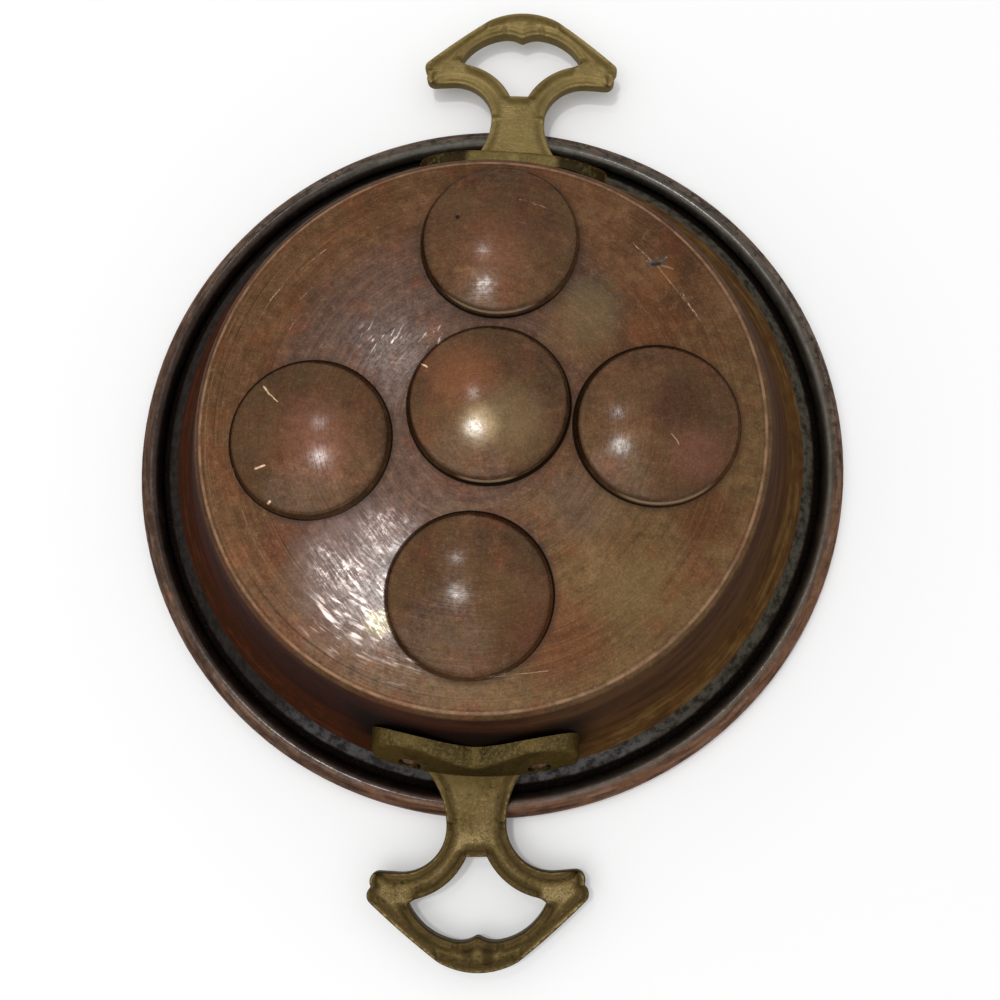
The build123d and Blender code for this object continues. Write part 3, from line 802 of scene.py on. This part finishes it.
# %% Handle finish
def cast_brass(name, loop, lighter, flange_shade):
    """The finish of one handle. The third argument is how much lighter and less brown this copy is
    painted, and the fourth how black the upper edge of its flange is painted, as painted shade."""
    brass = Finish(name)
    rounding, edge_dirt_and_shade, u, v = near_outline(brass, loop)
    normal = brass.node("ShaderNodeTexCoord", output="Normal")
    normal_z = brass.split(normal)[2]
    pits = brass.noise(0.8, detail=3.0, rough=0.72)
    sand = brass.noise(0.28, detail=1.0, rough=0.6, shift=5.0)
    patches = brass.noise(5.0, detail=4.0, rough=0.6, shift=9.0)
    tone = brass.ramp(
        pits * 0.55 + patches * 0.45,
        [(0.34, "332810"), (0.45, "58492b"), (0.55, "675636"), (0.68, "8c7a53")],
    )
    tone = brass.lay(tone, brass.ease(patches, 0.50, 0.68) * 0.4, "604829")
    on_loop = brass.ease(v, -8.0, -6.0)
    # Painted shade: faces that turn sideways are painted dark brown.
    shaded_side = brass.ease(normal_z, 0.85, 0.25) * (0.12 + on_loop * 0.63)
    tone = brass.lay(tone, brass.ease(v, -6.5, -9.0) * 0.55, "463b1e")
    tone = brass.lay(tone, shaded_side, "2a200d")
    streaks = 0.35 + brass.ease(patches * 0.6 + pits * 0.4, 0.40, 0.58) * 0.65
    # Brown along the edges, partly dirt and partly painted shade of the rounding.
    streaked_dirt_and_shade = edge_dirt_and_shade * (1 - lighter * 0.7) * streaks * on_loop
    tone = brass.lay(tone, streaked_dirt_and_shade * 0.8, "271b0a")
    # Painted highlight along the crown of the bars.
    crown_highlight = brass.ease(rounding, 0.22, 0.0) * brass.ease(v, -1.0, 3.0)
    crown_highlight = crown_highlight * brass.ease(sand * 0.4 + patches * 0.6, 0.42, 0.62)
    tone = brass.lay(tone, crown_highlight * 0.6, "a8966a")
    ragged = (patches - 0.5) * 4 + (pits - 0.5) * 2
    cusp_stain = brass.ease(abs(u - 1.9 + ragged * 0.35), 1.7, 0.5)
    cusp_stain = cusp_stain * brass.band(v + ragged, 23.9, 0.8, 1.6)
    tone = brass.lay(tone, cusp_stain * 0.8, "231a0d")
    # One copy is painted lighter and less brown, the other darker.
    tone = brass.lay(tone, (0.25 + patches * 0.6) * lighter, "86754a")
    tone = brass.lay(tone, (0.10 + patches * 0.35) * (1 - lighter), "40351f")
    # Painted shade: the upper faces of the flange beside the neck are painted black on the copy
    # whose flange lies in shade.
    soot_and_shade = brass.ease(v, -7.0, -8.0) * brass.ease(u, 8.5, 10.5) * brass.ease(normal_z, 0.15, 0.4)
    tone = brass.lay(tone, soot_and_shade * flange_shade, "18120b")
    # Edges at the slope that catches the light are painted pale: partly wear, partly painted
    # highlight.
    worn_and_lit_edges = brass.band(normal_z, 0.82, 0.08, 0.1) * brass.ease(pits, 0.45, 0.62)
    worn_and_lit_edges = worn_and_lit_edges * (1 - edge_dirt_and_shade) * (0.3 + on_loop * 0.7)
    tone = brass.lay(tone, worn_and_lit_edges * 0.45, "a89868")
    relief = pits * 0.20 + sand * 0.04 + (1 - rounding * rounding) * 0.76
    return brass.surface(
        {
            "Base Color": tone,
            "Roughness": 0.34 + pits * 0.25,
            "Metallic": 1 - shaded_side * 0.9,
            "Specular IOR Level": 0.2,
            "Specular Tint": (0.5, 0.42, 0.3, 1.0),
        },
        relief,
        1.0,
    )


# The back copy is painted lighter and less brown, with painted shade on its flange; the front copy
# is darker.
front_brass = cast_brass("front_handle_brass", LOOPS["front"], 0.0, 0.0)
back_brass = cast_brass("back_handle_brass", LOOPS["back"], 0.9, 0.9)
print("brass has", len(front_brass.node_tree.nodes), "nodes")

# %% [markdown]
# ## Rivets
#
# Each copper rivet is hammered down in a small pocket of the flange. Its finish is hammered copper
# in mottled browns.

# %% Rivet finish
rivet = Finish("rivet_copper")
hammered = rivet.noise(1.1, detail=3.0, rough=0.5)
rivet_brown = rivet.ramp(hammered, [(0.35, "3a2416"), (0.55, "5e412c"), (0.7, "7a5c45")])
rivet_finish = rivet.surface(
    {"Base Color": rivet_brown, "Roughness": 0.35 + hammered * 0.2, "Metallic": 0.95},
    hammered,
    0.15,
)
print("rivet has", len(rivet.tree.nodes), "nodes")

# %% Put the finishes on the solids
finishes = {
    "pan_body": copper_finish,
    "tin_lining": tin_finish,
    "front_handle": front_brass,
    "back_handle": back_brass,
    "front_left_rivet": rivet_finish,
    "front_right_rivet": rivet_finish,
    "back_left_rivet": rivet_finish,
    "back_right_rivet": rivet_finish,
}
for name, finish in finishes.items():
    slots = nodes[name].material_slots
    slots[0].material = finish
print("finished", len(finishes), "solids")

# %% [markdown]
# ## Floor, light and camera
#
# The pan was photographed from above on a white ground, under a small lamp that shows as a bright
# point on each dome, with a weaker one behind it and a soft light from the front left that makes
# the shadows. A pale floor keeps them, and further out it fades into plain white, so that no
# horizon shows. The world fills in softly. It shows white to the camera and to reflections, so the
# metal mirrors a pale room, while its light on the floor is weaker.

# %% Floor
def flat_sheet(name, half, height):
    """A square of two triangles at the given height: its corners are all sign pairs."""
    corners = np.array([(-half, -half), (half, -half), (half, half), (-half, half)])
    points = np.column_stack([corners, np.full(4, height)])
    mesh = bpy.data.meshes.new(name)
    mesh.from_pydata(points.tolist(), [], [(0, 1, 2, 3)])
    made = bpy.data.objects.new(name, mesh)
    bpy.context.scene.collection.objects.link(made)
    return made


floor = flat_sheet("floor", 4.0, -0.0002)
pale = Finish("pale_floor")
lit = pale.node("ShaderNodeBsdfDiffuse", None, {"Color": (0.98, 0.98, 0.98, 1.0)})
plain_white = pale.node("ShaderNodeEmission", None, {"Strength": 1.0})
rays = ["Is Camera Ray", "Is Glossy Ray", "Is Transmission Ray"]
looked_at = any_of(pale, [pale.node("ShaderNodeLightPath", output=ray) for ray in rays])
far_away = pale.ease(pale.r, 150.0, 500.0)
both = pale.node("ShaderNodeMixShader", None, {0: looked_at * far_away, 1: lit, 2: plain_white})
pale.node("ShaderNodeOutputMaterial", None, {"Surface": both})
floor.data.materials.append(pale.material)
print("floor at", floor.data.vertices[0].co[2])

# %% World
WORLD_LIGHT = 0.68
world = bpy.data.worlds.new("pale_room")
bpy.context.scene.world = world
world.use_nodes = True
world_nodes = world.node_tree.nodes
path = world_nodes.new("ShaderNodeLightPath")
seen = world_nodes.new("ShaderNodeMath")
seen.operation = "MAXIMUM"
through = world_nodes.new("ShaderNodeMath")
through.operation = "MAXIMUM"
strength = world_nodes.new("ShaderNodeMapRange")
strength.inputs["To Min"].default_value = WORLD_LIGHT
strength.inputs["To Max"].default_value = 1.0
for start, end in [
    (path.outputs["Is Camera Ray"], seen.inputs[0]),
    (path.outputs["Is Glossy Ray"], seen.inputs[1]),
    (seen.outputs[0], through.inputs[0]),
    (path.outputs["Is Transmission Ray"], through.inputs[1]),
    (through.outputs[0], strength.inputs["Value"]),
    (strength.outputs["Result"], world_nodes["Background"].inputs["Strength"]),
]:
    world.node_tree.links.new(start, end)
world_nodes["Background"].inputs["Color"].default_value = (1, 1, 1, 1)
print("world light", WORLD_LIGHT)

# %% Lamps
def round_lamp(name, direction, distance, diameter, level):
    """A round lamp that looks at the pan. Its level is how bright a white floor gets from it:
    a lamp of P watts gives P / (pi * distance) ** 2."""
    towards = Vector(direction).normalized()
    light = bpy.data.lights.new(name, "AREA")
    light.shape = "DISK"
    light.size = diameter
    light.energy = level * (math.pi * distance) ** 2
    lamp = bpy.data.objects.new(name, light)
    turn = towards.to_track_quat("Z", "Y").to_matrix().to_4x4()
    lamp.matrix_world = Matrix.Translation(towards * distance) @ turn
    bpy.context.scene.collection.objects.link(lamp)
    return lamp


lamps = [
    round_lamp("main_lamp", (-0.15, 0.07, 0.985), 1.2, 0.09, 0.17),
    round_lamp("second_lamp", (-0.18, 0.34, 1.0), 1.2, 0.05, 0.04),
    round_lamp("soft_lamp", (-0.24, -0.28, 1.0), 1.2, 0.8, 0.18),
]
print("lamps", [lamp.name for lamp in lamps])

# %% Camera
# The camera was fitted to the rim and the creases in the photograph, whose frame is square.
FRAME_PIXELS = 1000
FOCAL_PIXELS = 1077.3
camera_data = bpy.data.cameras.new("camera")
camera_data.sensor_width = 36.0
camera_data.lens = FOCAL_PIXELS / FRAME_PIXELS * camera_data.sensor_width
camera_data.clip_start = 0.01
camera = bpy.data.objects.new("camera", camera_data)
right = Vector((0.9976, 0.0500, -0.0486))
up = Vector((-0.0397, 0.9802, 0.1939))
back = right.cross(up).normalized()
right = up.cross(back).normalized()
up = back.cross(right)
turn = Matrix((right, up, back)).transposed().to_4x4()
camera.matrix_world = Matrix.Translation((0.01653, -0.05422, 0.22957)) @ turn
bpy.context.scene.collection.objects.link(camera)
bpy.context.scene.camera = camera
bpy.context.scene.view_settings.view_transform = "Standard"
print("camera at", [round(v, 4) for v in camera.location], "lens", round(camera_data.lens, 2))
